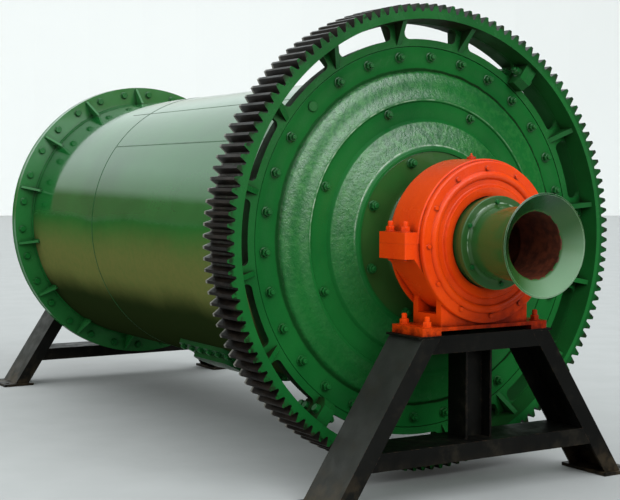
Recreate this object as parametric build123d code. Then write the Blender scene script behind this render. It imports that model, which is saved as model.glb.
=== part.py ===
"""Ball mill with a girth gear, on two welded stands, in millimetres.

X runs along the mill with the girth gear at the +X end, Z is up and the origin lies on the
floor under the middle of the mill.  Angles round the mill axis are measured from the -Y side
towards the top.
"""

import os
from math import ceil, cos, pi, radians, sin, tan

from build123d import *

# Drum
head_face_x = 1652.0  # outer face of either head flange, from the middle of the mill
shell_r = 780.0
shell_wall = 16.0
flange_height = 118.0  # of the shell and head flanges, over the shell
shell_flange_t = 28.0
head_flange_t = 38.0
flange_bolt_rise = 72.0  # bolt circle, over the shell
flange_bolt_count = 30
flange_bolt_hole_r = 13.0
flange_bolt_first_angle = 9.0
flange_hole_every = 3
gusset_count = 15
gusset_first_angle = 15.0
gusset_length = 100.0
gusset_t = 14.0
gusset_inset = 10.0  # from the rim of the flange
gusset_nose = 12.0  # height and width left at the thin ends of a gusset
fit_gap = 0.3  # between pieces that seat on each other

# Stepped head: radial widths of its bands and heights over the flange face
band1_rise, band1_edge, band1_round = 14.0, 20.0, 18.0
band1_width, ridge1_h, ridge1_width = 142.0, 52.0, 9.0
liner_ring_width, liner_ring_h = 94.0, 46.0
band2_edge, band2_round = 14.0, 12.0
trunnion_seat_wall, ridge_drop = 12.0, 5.0
head_wall = 45.0
head_spigot = 20.0
spigot_wall = 40.0

# Trunnion
journal_r = 225.0
journal_clearance = 0.08
trunnion_wall = 53.0
neck_rise = 25.0
trunnion_fillet_r = 40.0
trunnion_flange_rise, trunnion_flange_h = 169.0, 98.0  # over the neck; over the flange face
trunnion_flange_t = 34.0
journal_relief, journal_taper = 6.0, 24.0
mouth_end_inset = 29.0  # of the trunnion's end in the outer cover, below the journal
journal_shoulder = 6.0  # end of the journal, inside the face of the case

# Bearing
bearing_offset = 376.0  # bearing centre, outwards of the head face
bearing_wall = 143.0
bearing_half_w = 103.0
case_round = 6.0
case_low_inset = 28.0  # of the lower half, below the radius of the cap
flank_angle = 38.7  # where the straight flanks up to the lugs leave the lower half
cover_t = 24.0
cover_inset, cover_round = 10.0, 8.0
cover_bore_gap = 12.0
mouth_end_gap = 8.0  # round the trunnion's end, in the outer cover
bead_inset, bead_r, bead_sink = 62.0, 20.0, 6.0
cover_lip_width, cover_lip_h, cover_lip_dish, cover_lip_foot = 40.0, 15.0, 7.0, 8.0
split_gap = 0.3

# Mouth
mouth_flange_inset, mouth_flange_t = 19.0, 26.0
mouth_flange_gap = 46.0  # between the bearing cover and the back of the mouth flange
tube_inset, tube_wall, tube_length = 12.0, 17.0, 221.0
tube_fillet_r = 14.0
flare_length, flare_bore_length = 80.0, 66.0
flare_rise, flare_wall, flare_bend_r = 61.0, 8.0, 30.0

# Split line lugs, pedestal and base plate of the bearing
lug_inset, lug_rise = 3.0, 62.0  # inside the width of the case, and past its radius
lug_len = 120.0
lug_up, lug_down = 50.0, 66.0
lug_bolt_x, lug_bolt_inset, lug_hole_r = 56.0, 32.0, 12.0
pedestal_inset = 128.0
pocket_rib, pocket_depth, pocket_sill = 36.0, 90.0, 52.0
base_past_case, base_past_pedestal = 19.0, 108.0
foot_pad_w, foot_relief = 96.0, 20.0
base_t, base_round = 36.0, 12.0
base_below_case = 32.0  # underside of the base plate, below the case
foot_bolt_inset_x, foot_bolt_inset_y, foot_hole_r = 36.0, 46.0, 13.0
oil_boss_r, oil_boss_h = 20.0, 10.0

# Girth gear, cast in two halves
gear_module = 16.0
gear_over_flange = 174.0  # least height of the pitch circle over the flanges
gear_width = 230.0
gear_pressure_angle = 20.0
tooth_play, tooth_bulge = 0.3, 0.4
gear_rear_to_head_face = 130.0
gear_seat_t = 40.0  # inner flange of the gear, behind the head flange
gear_web_t = 24.0  # outer web, flush with the head flange
web_ring_rise = 30.0  # of the thick ring round the head flange, over the flanges
head_flange_gap = 2.0
rim_edge_t, rim_web_t = 34.0, 44.0  # below the tooth roots, at the faces and at the web
web_bore_gap = 4.0
spoke_count = 16
gear_split_angle = 126.5
spoke_half_w = 40.0
opening_rise, opening_edge = 36.0, 2.0  # over the flanges, and from the rim
opening_corner_r = 26.0
rib_t = 24.0
rib_rise = 8.0
rib_end_gap = 24.0  # from the gear face to the top of a rib
joint_plate_t, joint_plate_step = 34.0, 30.0
joint_bolt_rise, joint_bolt_spread, joint_hole_r = 68.0, 22.0, 14.0

# Manhole low on the shell
manhole_x = 262.0
manhole_angle = -74.0
saddle_len, saddle_arc, saddle_corner_r = 600.0, 42.0, 50.0
saddle_t = 22.0
manhole_len, manhole_arc, manhole_corner_r = 470.0, 30.0, 60.0
manhole_lap, manhole_lap_arc = 30.0, 2.0  # door over the saddle, on each side
door_t = 30.0

# Stands of rolled channel
gear_floor_gap = 32.0
channel_w, channel_leg = 250.0, 78.0
channel_web_t, channel_flange_t = 9.0, 12.0
beam_past_base = 24.0
cross_top_drop = 881.0  # upper face of the lower cross channel, below the mill axis
leg_inset = 20.0  # outer face of a leg at the top channel, from the channel's end
leg_slope = 33.0
post_w, post_depth = 146.0, 130.0
post_flange_t, post_web_t = 10.0, 8.0
foot_plate_t = 16.0
foot_plate_past = 25.0  # past the channel, along the mill
foot_plate_in, foot_plate_out = 24.0, 84.0  # past the inner and outer faces of a leg
anchor_inset, anchor_past_leg, anchor_hole_r = 60.0, 46.0, 13.0

flange_r = shell_r + flange_height
flange_bolt_circle_r = shell_r + flange_bolt_rise
band1_r = shell_r + band1_rise
ridge1_r = band1_r - band1_width
band2_r = ridge1_r - liner_ring_width
journal_bore_r = journal_r - trunnion_wall
trunnion_neck_r = journal_r + neck_rise
trunnion_flange_r = trunnion_neck_r + trunnion_flange_rise
bearing_x = head_face_x + bearing_offset
bearing_r = journal_r + bearing_wall
bearing_end_x = bearing_x + bearing_half_w + cover_t
mouth_x = bearing_end_x + mouth_flange_gap
cover_r = bearing_r - cover_inset
tube_r = journal_bore_r - tube_inset
tube_bore_r = tube_r - tube_wall
flare_r = tube_r + flare_rise
pedestal_half_y = bearing_r - pedestal_inset
base_half_x = bearing_half_w + base_past_case
base_half_y = pedestal_half_y + base_past_pedestal
base_drop = bearing_r + base_below_case
gear_teeth = 2 * ceil((flange_r + gear_over_flange) / gear_module)
gear_tip_r = gear_module * (gear_teeth + 2) / 2
gear_pitch_r = gear_module * gear_teeth / 2
gear_root_r = gear_module * (gear_teeth - 2.5) / 2
rim_inner_r = gear_root_r - rim_edge_t
rim_root_r = gear_root_r - rim_web_t
web_ring_r = flange_r + web_ring_rise
opening_inner_r, opening_outer_r = flange_r + opening_rise, rim_root_r - opening_edge
rib_inner_r = flange_r + rib_rise
joint_bolt_r = flange_r + joint_bolt_rise
gear_rear_x = head_face_x - gear_rear_to_head_face
seat_front_x = head_face_x - head_flange_t
seat_rear_x = seat_front_x - gear_seat_t
web_front_x = head_face_x
web_rear_x = web_front_x - gear_web_t
shell_half_len = seat_front_x
mouth_end_r = journal_r - mouth_end_inset
case_low_r = bearing_r - case_low_inset
beam_half_y = base_half_y + beam_past_base
leg_top_half_y = beam_half_y - leg_inset
axis_height = gear_tip_r + gear_floor_gap


def polar(r, angle):
    """Point in the YZ plane at an angle from -Y towards +Z."""
    return (-r * cos(radians(angle)), r * sin(radians(angle)))


def at_angle(angle):
    """Turn something drawn on the -Y side to the given angle round the X axis."""
    return Rot(-angle, 0, 0)


def turned(points, rounds=()):
    """Solid of revolution about X from (x, radius) points, with some corners rounded."""
    face = make_face(Polyline(*points, close=True))
    for (x, r), size in rounds:
        corner = face.vertices().sort_by_distance((x, r, 0))[0]
        face = fillet(corner, size)
    return revolve(face, Axis.X, 360)


def ring(x0, x1, r_in, r_out):
    """Plain ring about X between two planes."""
    return turned([(x0, r_in), (x1, r_in), (x1, r_out), (x0, r_out)])


def rod_x(x0, x1, r, angle, bar_r):
    """Round bar along X on a bolt circle."""
    y, z = polar(r, angle)
    return Pos((x0 + x1) / 2, y, z) * Rot(0, 90, 0) * Cylinder(bar_r, x1 - x0)


def mirrored(part):
    """The same piece at the far end."""
    return mirror(part, Plane.YZ)


def export(name, part):
    """Write one node, lifted from the mill axis to its height over the floor."""
    part = Pos(0, 0, axis_height) * part
    part.label = name
    export_step(part, os.path.join("parts", name + ".step"))


def stepped_head():
    """Cast head with two raised bands, carrying the trunnion flange in its seat."""
    face = head_face_x
    back = face - head_flange_t
    seat_h = trunnion_flange_h - trunnion_flange_t
    seat_r = trunnion_flange_r - trunnion_seat_wall
    spigot_r = shell_r - shell_wall - fit_gap
    outline = [
        (back, flange_r),
        (face, flange_r),
        (face, band1_r),
        (face + band1_edge, band1_r - band1_edge),
        (face + ridge1_h, ridge1_r),
        (face + ridge1_h, ridge1_r - ridge1_width),
        (face + liner_ring_h, ridge1_r - ridge1_width - ridge_drop),
        (face + liner_ring_h, band2_r),
        (face + liner_ring_h + band2_edge, band2_r - band2_edge),
        (face + trunnion_flange_h - band1_edge / 2, trunnion_flange_r + band2_edge),
        (face + trunnion_flange_h, trunnion_flange_r),
        (face + trunnion_flange_h, seat_r),
        (face + seat_h, seat_r),
        (face + seat_h, journal_bore_r),
        (face + seat_h - head_wall, journal_bore_r),
        (face + seat_h - head_wall, seat_r),
        (face + liner_ring_h - head_wall, band2_r),
        (face + liner_ring_h - head_wall, ridge1_r),
        (back - head_spigot, spigot_r - spigot_wall),
        (back - head_spigot, spigot_r),
        (back, spigot_r),
    ]
    head = turned(
        outline,
        [
            ((face + band1_edge, band1_r - band1_edge), band1_round),
            ((face + ridge1_h, ridge1_r), ridge1_width / 3),
            ((face + liner_ring_h + band2_edge, band2_r - band2_edge), band2_round),
            ((face, flange_r), ridge1_width / 3),
        ],
    )
    return head - flange_holes(back, face)


def flange_holes(x0, x1):
    """Bars that cut the drilled places of the flange bolt circle."""
    step = 360 / flange_bolt_count
    return [
        rod_x(
            x0 - 1,
            x1 + 1,
            flange_bolt_circle_r,
            flange_bolt_first_angle + k * step,
            flange_bolt_hole_r,
        )
        for k in range(0, flange_bolt_count, flange_hole_every)
    ]


def trunnion():
    """Hollow trunnion: bolted flange, filleted neck, journal and a thinner end for the mouth."""
    face = head_face_x
    top = face + trunnion_flange_h - ridge_drop
    seat = face + trunnion_flange_h - trunnion_flange_t
    rim_r = trunnion_flange_r - trunnion_seat_wall - fit_gap
    journal_start = bearing_x - bearing_half_w - cover_t - journal_relief
    journal_end = bearing_x + bearing_half_w - journal_shoulder
    outline = [
        (seat, journal_bore_r),
        (seat, rim_r),
        (top, rim_r),
        (top, trunnion_neck_r),
        (journal_start - journal_taper, trunnion_neck_r),
        (journal_start, journal_r),
        (journal_end, journal_r),
        (journal_end, mouth_end_r),
        (mouth_x, mouth_end_r),
        (mouth_x, journal_bore_r),
    ]
    return turned(
        outline,
        [
            ((top, trunnion_neck_r), trunnion_fillet_r),
            ((top, rim_r), ridge1_width / 3),
        ],
    )


def mouth():
    """Bolted flange, straight tube and the thin flared mouth."""
    mouth_flange_r = journal_r - mouth_flange_inset
    flange_front = mouth_x + mouth_flange_t
    flare_x0 = flange_front + tube_length
    flare_x1 = flare_x0 + flare_length
    outline = [
        (mouth_x, tube_bore_r),
        (mouth_x, mouth_flange_r),
        (flange_front, mouth_flange_r),
        (flange_front, tube_r),
        (flare_x0, tube_r),
        (flare_x1, flare_r),
        (flare_x1 + flare_wall / 4, flare_r - flare_wall),
        (flare_x1 - flare_bore_length, tube_bore_r),
    ]
    return turned(
        outline,
        [
            ((flange_front, tube_r), tube_fillet_r),
            ((flare_x0, tube_r), flare_bend_r),
            ((flange_front, mouth_flange_r), mouth_flange_t / 5),
        ],
    )


def bearing_cover(outer):
    """Ring cover with a round bead and a dished lip; the inner one is plain."""
    x0 = bearing_x + bearing_half_w
    x1 = x0 + cover_t
    if not outer:
        bore = journal_r + cover_bore_gap
        disc = turned(
            [(x0, bore), (x1, bore), (x1, cover_r), (x0, cover_r)],
            [((x1, cover_r), cover_round)],
        )
        return Pos(2 * bearing_x, 0, 0) * mirrored(disc)
    bore = mouth_end_r + mouth_end_gap
    lip_x, lip_r = x1 + cover_lip_h, bore + cover_lip_width
    disc = turned(
        [
            (x0, bore),
            (lip_x - cover_lip_dish, bore),
            (lip_x, lip_r),
            (x1, lip_r + cover_lip_foot),
            (x1, cover_r),
            (x0, cover_r),
        ],
        [((x1, cover_r), cover_round), ((x1, lip_r + cover_lip_foot), cover_round)],
    )
    bead = Rot(0, 90, 0) * Torus(cover_r - bead_inset, bead_r)
    behind = Pos(x0 - cover_r, 0, 0) * Box(2 * cover_r, 2 * cover_r, 2 * cover_r)
    return disc + (Pos(x1 - bead_sink, 0, 0) * bead - behind)


def case_disc(r):
    """Solid round body of the bearing with rounded edges."""
    x0, x1 = bearing_x - bearing_half_w, bearing_x + bearing_half_w
    return turned(
        [(x0, 0), (x0, r), (x1, r), (x1, 0)], [((x0, r), case_round), ((x1, r), case_round)]
    )


def bearing_block():
    """Whole bearing body before it is split: round case, lugs, pedestal and base."""
    lugs = Part()
    lug_half_w = bearing_half_w - lug_inset
    lug_reach = bearing_r + lug_rise
    cap = Pos(bearing_x, 0, bearing_r) * Box(
        2 * bearing_half_w, 2 * bearing_r, 2 * bearing_r
    )
    case = (case_disc(bearing_r) & cap) + case_disc(case_low_r)
    # Straight flanks run up from the lower half to the undersides of the lugs.
    flank = radians(flank_angle)
    flank_y, flank_z = case_low_r * cos(flank), -case_low_r * sin(flank)
    flank_top_y = flank_y - (flank_z + lug_down) * tan(flank)
    case += side_plate(
        [
            (-flank_top_y, -lug_down),
            (flank_top_y, -lug_down),
            (flank_y, flank_z),
            (-flank_y, flank_z),
        ],
        bearing_x - lug_half_w,
        bearing_x + lug_half_w,
    )
    for side in (-1, 1):
        lug = Pos(bearing_x, side * (lug_reach - lug_len / 2), (lug_up - lug_down) / 2) * Box(
            2 * lug_half_w, lug_len, lug_up + lug_down
        )
        corners = lug.edges().filter_by(Axis.Z).group_by(Axis.Y)[0 if side < 0 else -1]
        lugs += fillet(corners, case_round)
    plate_top = -base_drop + base_t
    pedestal_top = -bearing_r / 2
    pedestal = Pos(bearing_x, 0, (plate_top + pedestal_top) / 2) * Box(
        2 * bearing_half_w, 2 * pedestal_half_y, pedestal_top - plate_top
    )
    # A pocket under the case on either side leaves a rib at each end and a low sill.
    pocket_low = plate_top + pocket_sill
    for side in (-1, 1):
        pedestal -= Pos(
            bearing_x, side * pedestal_half_y, (pocket_low + pedestal_top) / 2
        ) * Box(
            2 * (bearing_half_w - pocket_rib), 2 * pocket_depth, pedestal_top - pocket_low
        )
    base = Pos(bearing_x, 0, -base_drop + base_t / 2) * Box(
        2 * base_half_x, 2 * base_half_y, base_t
    )
    base = fillet(base.edges().filter_by(Axis.Z), base_round)
    # The base stands on a pad along each side.
    base -= Pos(bearing_x, 0, -base_drop) * Box(
        3 * base_half_x, 2 * (base_half_y - foot_pad_w), 2 * foot_relief
    )
    foot_bolt_x, foot_bolt_y = base_half_x - foot_bolt_inset_x, base_half_y - foot_bolt_inset_y
    for x in (-foot_bolt_x, foot_bolt_x):
        for y in (-foot_bolt_y, foot_bolt_y):
            base -= Pos(bearing_x + x, y, -base_drop + base_t / 2) * Cylinder(
                foot_hole_r, base_t + 2
            )
    boss = Pos(bearing_x, 0, bearing_r) * Cylinder(oil_boss_r, 2 * oil_boss_h)
    block = case + lugs + pedestal + base + boss
    bore = Pos(bearing_x, 0, 0) * Rot(0, 90, 0) * Cylinder(
        journal_r + journal_clearance, 2 * bearing_half_w + 2
    )
    block -= bore
    lug_bolt_y = lug_reach - lug_bolt_inset
    for x in (-lug_bolt_x, lug_bolt_x):
        for y in (-lug_bolt_y, lug_bolt_y):
            block -= Pos(bearing_x + x, y, 0) * Cylinder(lug_hole_r, 4 * lug_down)
    return block


def gear_outline(first_angle):
    """Teeth of half the gear as points from one split to the other."""
    pitch_angle = 360 / gear_teeth
    slope = tan(radians(gear_pressure_angle))
    half_pitch = pi * gear_module / 4 - tooth_play
    half_tip = half_pitch - slope * gear_module
    half_root = half_pitch + slope * 1.25 * gear_module
    points = []
    for k in range(gear_teeth // 2):
        centre = first_angle + (k + 0.5) * pitch_angle
        flank = [
            (gear_root_r, -half_root),
            (gear_pitch_r, -half_pitch - tooth_bulge),
            (gear_tip_r, -half_tip),
            (gear_tip_r, half_tip),
            (gear_pitch_r, half_pitch + tooth_bulge),
            (gear_root_r, half_root),
        ]
        for r, offset in flank:
            points.append(polar(r, centre + offset / r * 180 / pi))
    return points


def gear_half(first_angle):
    """Half girth gear: toothed rim, pocketed web, ribs and a joint plate at each split."""
    x1 = gear_rear_x + gear_width
    plane = Plane.YZ.offset(gear_rear_x)
    start, end = polar(gear_root_r, first_angle), polar(gear_root_r, first_angle + 180)
    outline = [start] + gear_outline(first_angle) + [end, (0, 0)]
    rim = extrude(plane * make_face(Polyline(*outline, close=True)), gear_width)
    # The rim is thinner at its faces than at the web, as a casting draws from its mould.
    rim -= turned(
        [
            (gear_rear_x - 1, 0),
            (gear_rear_x - 1, rim_inner_r),
            (web_rear_x, rim_root_r),
            (web_front_x, rim_root_r),
            (x1 + 1, rim_inner_r),
            (x1 + 1, 0),
        ]
    )
    # Inner flange behind the head flange, joined to the outer web by a thick ring round it.
    web = turned(
        [
            (seat_rear_x, shell_r + web_bore_gap),
            (seat_front_x, shell_r + web_bore_gap),
            (seat_front_x, flange_r + head_flange_gap),
            (web_front_x, flange_r + head_flange_gap),
            (web_front_x, rim_inner_r),
            (web_rear_x, rim_inner_r),
            (web_rear_x, web_ring_r),
            (seat_rear_x, web_ring_r),
        ]
    )
    step = 360 / spoke_count
    ribs, pockets = [], []
    depth = x1 - rib_end_gap
    rear_depth = gear_rear_x + rib_end_gap / 2
    rib_outer_r = rim_root_r + rib_rise
    for k in range(spoke_count // 2):
        middle = first_angle + (k + 0.5) * step
        half = spoke_half_w / opening_inner_r * 180 / pi
        lower, upper = middle - step / 2 + half, middle + step / 2 - half
        pocket = make_face(
            [
                ThreePointArc(
                    polar(opening_inner_r, lower),
                    polar(opening_inner_r, middle),
                    polar(opening_inner_r, upper),
                ),
                Line(polar(opening_inner_r, upper), polar(opening_outer_r, upper)),
                ThreePointArc(
                    polar(opening_outer_r, upper),
                    polar(opening_outer_r, middle),
                    polar(opening_outer_r, lower),
                ),
                Line(polar(opening_outer_r, lower), polar(opening_inner_r, lower)),
            ]
        )
        pocket = fillet(pocket.vertices(), opening_corner_r)
        pockets.append(
            extrude(Plane.YZ.offset(web_rear_x - 1) * pocket, gear_web_t + 2)
        )
        if k:
            rib = make_face(
                Polyline(
                    (seat_rear_x + 1, -rib_inner_r),
                    (rear_depth, -rib_outer_r),
                    (depth, -rib_outer_r),
                    (web_front_x - 1, -rib_inner_r),
                    close=True,
                )
            )
            ribs.append(
                at_angle(first_angle + k * step) * extrude(rib, rib_t / 2, both=True)
            )
    web -= pockets
    plates = []
    for angle, side in ((first_angle, 1), (first_angle + 180, -1)):
        plate = make_face(
            Polyline(
                (seat_rear_x + 1, -rib_inner_r),
                (rear_depth, -rib_outer_r),
                (depth, -rib_outer_r),
                (depth, -rib_inner_r - joint_plate_step),
                (depth - joint_plate_step, -rib_inner_r),
                close=True,
            )
        )
        plate = extrude(plate, joint_plate_t)
        if side < 0:
            plate = mirror(plate, Plane.XY)
        # One bolt before the web and two behind it.
        front_x, rear_x = (web_front_x + depth) / 2, (web_rear_x + rear_depth) / 2
        for x in (front_x, rear_x - joint_bolt_spread, rear_x + joint_bolt_spread):
            plate -= Pos(x, -joint_bolt_r, 0) * Cylinder(joint_hole_r, 3 * joint_plate_t)
        plates.append(at_angle(angle) * plate)
    gear = rim + web + ribs + plates
    # Cut back to the split plane, leaving a hair of daylight between the halves.
    size = 3 * gear_tip_r
    keep = Pos(gear_rear_x, 0, (size + split_gap) / 2) * Box(size, size, size)
    gear = gear & (at_angle(first_angle) * keep)
    return gear - flange_holes(seat_rear_x, seat_front_x)


def gussets(x_face, length):
    """Triangular stiffeners between a shell flange and the shell."""
    foot_r = shell_r + fit_gap
    plates = []
    for k in range(gusset_count):
        face = make_face(
            Polyline(
                (x_face, -foot_r),
                (x_face, -flange_r + gusset_inset),
                (x_face + length * gusset_nose / gusset_length, -flange_r + gusset_inset),
                (x_face + length, -foot_r - gusset_nose),
                (x_face + length, -foot_r),
                close=True,
            )
        )
        plate = extrude(face, gusset_t / 2, both=True)
        plates.append(at_angle(gusset_first_angle + k * 360 / gusset_count) * plate)
    return Compound([plate.solid() for plate in plates])


def shell_patch(r0, r1, length, arc, corner):
    """Rectangular piece of a cylinder wall with rounded corners, at the manhole."""
    half = r1 * sin(radians(arc / 2))
    outline = extrude(
        Plane.XZ * Pos(manhole_x, 0) * RectangleRounded(length, 2 * half, corner),
        2 * r1,
    )
    wall = ring(manhole_x - length, manhole_x + length, r0, r1)
    return at_angle(manhole_angle) * (wall & outline)


def side_plate(points, x0, x1):
    """Plate drawn in the YZ plane and extruded along X."""
    return extrude(Plane.YZ.offset(x0) * make_face(Polyline(*points, close=True)), x1 - x0)


def channel_pieces(outer, web_in, flange_in):
    """Channel whose outer face follows two points, from its web and its two flanges."""
    x0, x1 = bearing_x - channel_w / 2, bearing_x + channel_w / 2
    web = side_plate(outer + web_in, x0, x1)
    flanges = [
        side_plate(outer + flange_in, x0, x0 + channel_flange_t),
        side_plate(outer + flange_in, x1 - channel_flange_t, x1),
    ]
    return web + flanges


def leg_y(z, inward=0.0):
    """Half width over the legs at a height, measured so far in from their outer face."""
    slope = radians(leg_slope)
    drop = -base_drop - channel_web_t - z
    return leg_top_half_y + drop * tan(slope) - inward / cos(slope)


def stand():
    """Welded stand: top and cross channels, two splayed legs, a post and foot plates."""
    beam_top = -base_drop
    beam_web = beam_top - channel_web_t
    beam_low = beam_top - channel_leg
    floor = -axis_height
    leg_low = floor + foot_plate_t
    beam = side_plate(
        [
            (-beam_half_y, beam_top),
            (beam_half_y, beam_top),
            (beam_half_y, beam_web),
            (-beam_half_y, beam_web),
        ],
        bearing_x - channel_w / 2,
        bearing_x + channel_w / 2,
    )
    cross_top = -cross_top_drop
    cross_low = cross_top - channel_leg
    cross = side_plate(
        [
            (-leg_y(cross_top, channel_leg), cross_top),
            (leg_y(cross_top, channel_leg), cross_top),
            (leg_y(cross_top - channel_web_t, channel_leg), cross_top - channel_web_t),
            (-leg_y(cross_top - channel_web_t, channel_leg), cross_top - channel_web_t),
        ],
        bearing_x - channel_w / 2,
        bearing_x + channel_w / 2,
    )
    for x in (bearing_x - channel_w / 2, bearing_x + channel_w / 2 - channel_flange_t):
        for z0, z1, kind in ((beam_web, beam_low, "beam"), (cross_top, cross_low, "cross")):
            flange = side_plate(
                [
                    (-leg_y(z0, channel_leg), z0),
                    (leg_y(z0, channel_leg), z0),
                    (leg_y(z1, channel_leg), z1),
                    (-leg_y(z1, channel_leg), z1),
                ],
                x,
                x + channel_flange_t,
            )
            if kind == "beam":
                beam += flange
            else:
                cross += flange
    legs, feet = [], []
    foot_half_x = channel_w / 2 + foot_plate_past
    for side in (-1, 1):
        outer = [(side * leg_y(leg_low), leg_low), (side * leg_y(beam_web), beam_web)]
        inner = [
            [(side * leg_y(beam_web, t), beam_web), (side * leg_y(leg_low, t), leg_low)]
            for t in (channel_web_t, channel_leg)
        ]
        legs.append(channel_pieces(outer, inner[0], inner[1]))
        y_in = leg_y(leg_low, channel_leg) - foot_plate_in
        y_out = leg_y(leg_low) + foot_plate_out
        foot = Pos(bearing_x, side * (y_in + y_out) / 2, floor + foot_plate_t / 2) * Box(
            2 * foot_half_x, y_out - y_in, foot_plate_t
        )
        for x in (anchor_inset - foot_half_x, foot_half_x - anchor_inset):
            foot -= Pos(
                bearing_x + x, side * (leg_y(leg_low) + anchor_past_leg), floor
            ) * Cylinder(anchor_hole_r, 3 * foot_plate_t)
        feet.append(foot)
    post_mid = Pos(bearing_x, 0, (beam_web + cross_top) / 2)
    height = beam_web - cross_top
    post = Box(post_web_t, post_w - 2 * post_flange_t, height)
    for side in (-1, 1):
        post += Pos(0, side * (post_w - post_flange_t) / 2, 0) * Box(
            post_depth, post_flange_t, height
        )
    return {
        "top_beam": beam,
        "leg_left": legs[0],
        "leg_right": legs[1],
        "cross_beam": cross,
        "post": post_mid * post,
        "foot_left": feet[0],
        "foot_right": feet[1],
    }


def main():
    os.makedirs("parts", exist_ok=True)

    shell = ring(-shell_half_len, shell_half_len, shell_r - shell_wall, shell_r)
    saddle_r = shell_r + saddle_t
    opening = shell_patch(
        shell_r - 2 * shell_wall,
        saddle_r + saddle_t,
        manhole_len - 2 * manhole_lap,
        manhole_arc - 2 * manhole_lap_arc,
        manhole_corner_r - manhole_lap / 2,
    )
    saddle = shell_patch(shell_r + fit_gap, saddle_r, saddle_len, saddle_arc, saddle_corner_r)
    door = shell_patch(
        saddle_r + fit_gap, saddle_r + door_t, manhole_len, manhole_arc, manhole_corner_r
    )
    export("shell", shell - opening)
    export("manhole_saddle", saddle - opening)
    export("manhole_door", door)

    flange_in = shell_r + fit_gap
    near_flange = ring(seat_rear_x - shell_flange_t, seat_rear_x, flange_in, flange_r)
    near_flange -= flange_holes(seat_rear_x - shell_flange_t, seat_rear_x)
    far_flange = ring(shell_half_len - shell_flange_t, shell_half_len, flange_in, flange_r)
    far_flange -= flange_holes(shell_half_len - shell_flange_t, shell_half_len)
    export("shell_flange_gear_end", near_flange)
    export("shell_flange_far_end", mirrored(far_flange))
    near_gussets = gussets(seat_rear_x - shell_flange_t, -gusset_length)
    far_gussets = gussets(-shell_half_len + shell_flange_t, gusset_length)
    export("gussets_gear_end", near_gussets)
    export("gussets_far_end", far_gussets)

    ends = {
        "head": stepped_head(),
        "trunnion": trunnion(),
        "mouth": mouth(),
        "bearing_cover_outer": bearing_cover(outer=True),
        "bearing_cover_inner": bearing_cover(outer=False),
    }
    block = bearing_block()
    half_space = 2 * axis_height
    for name, side in (("bearing_cap", 1), ("bearing_base", -1)):
        keep = Pos(bearing_x, 0, side * (half_space + split_gap) / 2) * Box(
            half_space, half_space, half_space
        )
        ends[name] = block & keep
    for name, piece in stand().items():
        ends["stand_" + name] = piece
    for name, piece in ends.items():
        export(name + "_gear_end", piece)
        export(name + "_far_end", mirrored(piece))

    export("girth_gear_upper", gear_half(gear_split_angle - 180))
    export("girth_gear_lower", gear_half(gear_split_angle))


if __name__ == "__main__":
    main()
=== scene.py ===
"""Looks of the ball mill: paint, grease, bolts, weld beads, studio light and camera.

Metres, in the frame of the model: X along the mill with the girth gear at +X, Z up.
Angles round the mill axis are measured from the -Y side towards the top.
"""

import math
import random

import bpy
from mathutils import Matrix, Vector


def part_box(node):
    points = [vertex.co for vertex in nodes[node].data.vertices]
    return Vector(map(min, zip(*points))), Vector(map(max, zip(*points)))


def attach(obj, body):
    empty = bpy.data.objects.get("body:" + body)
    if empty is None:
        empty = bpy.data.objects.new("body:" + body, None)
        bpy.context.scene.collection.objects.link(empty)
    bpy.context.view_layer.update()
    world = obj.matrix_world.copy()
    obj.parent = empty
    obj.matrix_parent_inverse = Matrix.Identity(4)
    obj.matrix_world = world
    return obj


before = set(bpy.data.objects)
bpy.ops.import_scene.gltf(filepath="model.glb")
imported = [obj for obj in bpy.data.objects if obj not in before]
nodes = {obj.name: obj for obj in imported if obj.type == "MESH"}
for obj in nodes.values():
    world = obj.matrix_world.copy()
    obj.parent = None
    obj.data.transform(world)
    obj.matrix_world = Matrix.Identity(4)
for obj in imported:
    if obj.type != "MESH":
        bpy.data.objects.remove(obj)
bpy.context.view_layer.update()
ENDS = {"gear_end": 1, "far_end": -1}

# Boxes of the nodes that other sizes are worked out from
shell_low, shell_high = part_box("shell")
flange_low, flange_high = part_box("shell_flange_gear_end")
cover_low, cover_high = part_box("bearing_cover_inner_gear_end")
cap_low, cap_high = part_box("bearing_cap_gear_end")
base_low, base_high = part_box("bearing_base_gear_end")
mouth_low, mouth_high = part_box("mouth_gear_end")
saddle_low, saddle_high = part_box("manhole_saddle")
gear_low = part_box("girth_gear_upper")[0]
beam_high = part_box("stand_top_beam_gear_end")[1]
AXIS_Z = (shell_low.z + shell_high.z) / 2
SHELL_R = (shell_high.y - shell_low.y) / 2
FLANGE_R = (flange_high.y - flange_low.y) / 2
SHELL_END = shell_high.x
SHELL_FLANGE_T = flange_high.x - flange_low.x
HEAD_FLANGE_T = 0.038
FACE_X = SHELL_END + HEAD_FLANGE_T
BEARING_X = (cap_low.x + cap_high.x) / 2
COVER_T = cover_high.x - cover_low.x
COVER_FACE = cap_high.x + COVER_T
BORE_R = 0.172  # of the trunnion
TUBE_BORE_R = 0.143
TUBE_FOOT_R = 0.174  # edge of the fillet between the mouth's tube and its flange
JOURNAL_R = 0.225
JOURNAL_END = 0.006  # end relief of the journal, past the bearing and its inner cover
FLARE_DEPTH = 0.068  # from the rim of the mouth to its straight bore
NO_END = 9.0  # past everything, for a bore that goes right through
SINK = 0.001  # how deep bolts and beads reach into what carries them
SHARP_ANGLE = 35.0  # edges sharper than this stay sharp in what is added

# Thread diameters
FLANGE_THREAD, LINER_THREAD, TRUNNION_THREAD = 0.024, 0.022, 0.024
STUD_THREAD, JOINT_THREAD, MANHOLE_THREAD, SCREW_THREAD = 0.024, 0.024, 0.020, 0.012

# How far studs reach out of their nuts, with the least and the most of those that vary
FLANGE_STUD_UP, HEAD_STUD_UP = (0.010, 0.018), (0.008, 0.016)
LUG_STUD_UP, FOOT_STUD_UP, JOINT_STUD_UP = 0.022, 0.024, 0.012

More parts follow.
